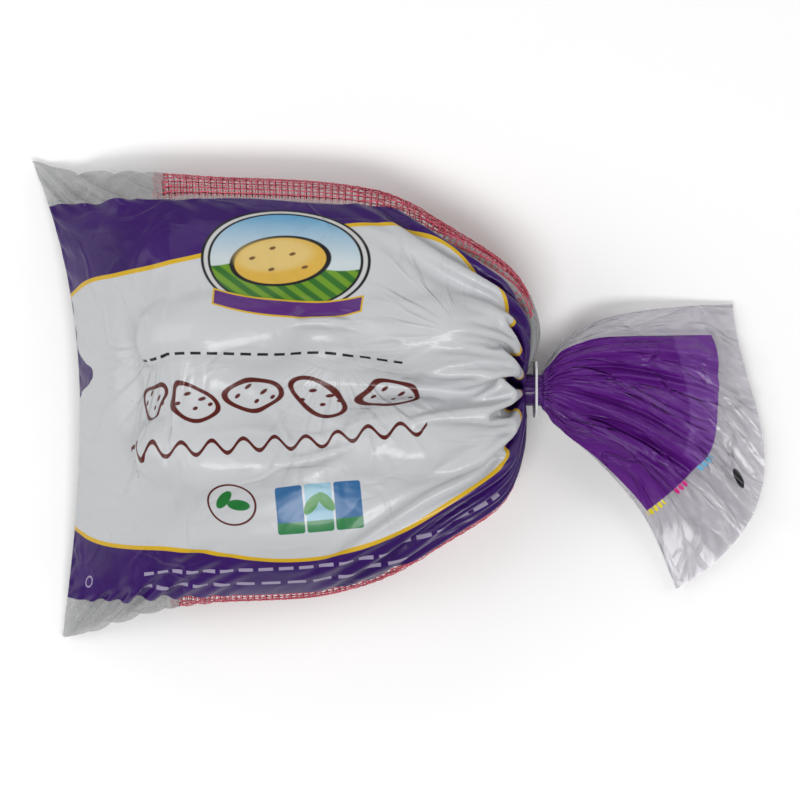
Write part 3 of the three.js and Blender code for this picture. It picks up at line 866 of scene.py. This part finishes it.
    # Where the ink stops and the film is clear: both sides, and short of the mouth.
    far = curve_over(g, u, 0, 465, [(0, 111), (30, 119), (60, 122), (93, 114), (143, 116),
                                   (187, 114), *FAR_MARGIN, (360, 108), (401, 100),
                                   (424, 101), (465, 108)], 60, 140)
    near = curve_over(g, u, 0, 465, [(0, -115), (40, -122), (90, -131), (150, -137),
                                    (300, -137), (330, -134), (465, -131)], -150, -90)
    end = curve_over(g, v, -140, 130, [(-140, 426), (-61, 429), (-30, 434), (19, 438),
                                      (60, 444), (94, 448), (130, 438)], 400, 470)
    edge = g.low(g.low(g.sub(far, v), g.sub(v, near)), g.sub(end, u))
    covered = g.mask(edge, 0.6)

    # Press marks along the end of the print.
    step = g.sub(g.math("MODULO", g.add(v, 201.0), 6.4), 3.2)
    beyond = g.sub(u, g.add(end, 1.2))
    spot = g.math("SQRT", g.add(g.mul(step, g.mul(step, 0.7)), g.mul(beyond, beyond)))
    spot = g.mask(g.sub(2.1, spot))
    for low, high_, tint in ((-134, -108, (0.72, 0.6, 0.02)), (-92, -72, (0.62, 0.02, 0.22)),
                             (-54, -32, (0.15, 0.45, 0.68))):
        here = g.mask(g.low(g.sub(v, float(low)), g.sub(float(high_), v)), 0.4)
        dab = g.mul(g.mul(spot, here), g.sub(1.0, covered))
        ink = g.colour(dab, ink, tint)
        covered = g.high(covered, dab)
    eye_mark = g.mask(ellipse(g, u, v, (452, -33), (3.0, 6.5), 0.5), 0.4)
    ink = g.colour(eye_mark, ink, DARK)
    covered = g.high(covered, eye_mark)

    shine = g.noise(flat, 0.06, 3.0)
    solid = g.principled(
        Base_Color=ink, Roughness=g.map(shine, 0.3, 0.7, 0.26, 0.42), Normal=normal, IOR=1.48,
        Coat_Weight=0.18, Coat_Roughness=0.08, Specular_IOR_Level=0.24,
    )
    mix = g.node("ShaderNodeMixShader")
    g.put(covered, mix.inputs[0])
    g.put(clear_shader(g, flat, u, normal), mix.inputs[1])
    g.put(solid, mix.inputs[2])
    return g.finish(mix.outputs[0])


def net_plastic():
    g = Graph("net_plastic")
    where = g.node("ShaderNodeTexCoord").outputs["Object"]
    tone = g.noise(where, 60.0, 4.0)
    base = g.colour(g.map(tone, 0.35, 0.65, 0, 1), (0.56, 0.05, 0.10), (0.72, 0.13, 0.19))
    grain = g.bump(g.noise(where, 900.0, 2.0), 0.0003, 0.4)
    return g.finish(g.principled(Base_Color=base, Roughness=0.42, Normal=grain, IOR=1.5))


def russet_skin():
    g = Graph("russet_skin")
    where = g.node("ShaderNodeTexCoord").outputs["Object"]
    patch = g.noise(where, 26.0, 6.0, 0.6, 0.6)
    base = g.colour(g.map(patch, 0.3, 0.7, 0, 1), (0.2, 0.1, 0.045), (0.4, 0.24, 0.12))
    cells = g.node("ShaderNodeTexVoronoi", feature="DISTANCE_TO_EDGE")
    g.put(where, cells.inputs["Vector"])
    cells.inputs["Scale"].default_value = 520.0
    netting = g.map(cells.outputs["Distance"], 0.0, 0.14, 1, 0)
    base = g.colour(g.mul(netting, 0.35), base, (0.46, 0.31, 0.18))
    speck = g.map(g.noise(where, 210.0, 3.0), 0.62, 0.72, 0, 0.7)
    base = g.colour(speck, base, (0.1, 0.05, 0.025))
    rough = g.bump(netting, 0.0004, 0.5)
    rough = g.bump(g.noise(where, 140.0, 5.0), 0.0012, 0.5, rough)
    return g.finish(g.principled(Base_Color=base, Roughness=0.82, Normal=rough))


def clip_plastic():
    g = Graph("clip_plastic")
    where = g.node("ShaderNodeTexCoord").outputs["Object"]
    tone = g.noise(where, 70.0, 3.0)
    base = g.colour(g.map(tone, 0.3, 0.7, 0, 1), (0.62, 0.62, 0.64), (0.74, 0.74, 0.75))
    grain = g.bump(g.noise(where, 1400.0, 2.0), 0.0002, 0.3)
    return g.finish(g.principled(Base_Color=base, Roughness=0.38, Normal=grain))


front.data.materials.append(printed_film())
clear = clear_film()
bottom.data.materials.append(clear)
tail.data.materials.append(clear)
net.data.materials.append(net_plastic())
skin = russet_skin()
for potato in potatoes:
    potato.data.materials.clear()
    potato.data.materials.append(skin)
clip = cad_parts["closure_clip"]
clip.data.materials.clear()
clip.data.materials.append(clip_plastic())

# ---- Stage: floor, light and camera ----
floor = mesh_object(
    "floor", [(-2, -2, 0), (2, -2, 0), (2, 2, 0), (-2, 2, 0)], [(0, 1, 2, 3)], smooth=False
)
g = Graph("floor")
floor.data.materials.append(g.finish(g.principled(Base_Color=(0.96, 0.96, 0.96, 1), Roughness=0.8)))

scene = bpy.context.scene
scene.view_settings.view_transform = "Standard"
world = bpy.data.worlds.new("world")
world.use_nodes = True
world.node_tree.nodes["Background"].inputs[0].default_value = (1, 1, 1, 1)
world.node_tree.nodes["Background"].inputs[1].default_value = 0.26
scene.world = world


def softbox(name, place, size, power):
    light = bpy.data.lights.new(name, "AREA")
    light.shape = "RECTANGLE"
    light.size, light.size_y = size
    light.energy = power
    obj = bpy.data.objects.new(name, light)
    obj.location = place
    obj.rotation_euler = (-obj.location).to_track_quat("-Z", "Y").to_euler()
    bpy.context.collection.objects.link(obj)


softbox("key", (0.05, -0.48, 1.4), (0.8, 0.3), 11)
softbox("back", (-0.3, 1.2, 0.8), (1.4, 0.6), 3)
softbox("left", (-1.0, 0.1, 0.85), (0.7, 1.1), 6)
softbox("right", (1.05, 0.4, 0.8), (0.7, 0.9), 4)

camera = bpy.data.cameras.new("camera")
camera.lens = 409
camera.clip_end = 20
eye = bpy.data.objects.new("camera", camera)
eye.location = ((1.1 + SHIFT[0]) * MM, (-0.8 + SHIFT[1]) * MM, 5.04)
bpy.context.collection.objects.link(eye)
scene.camera = eye
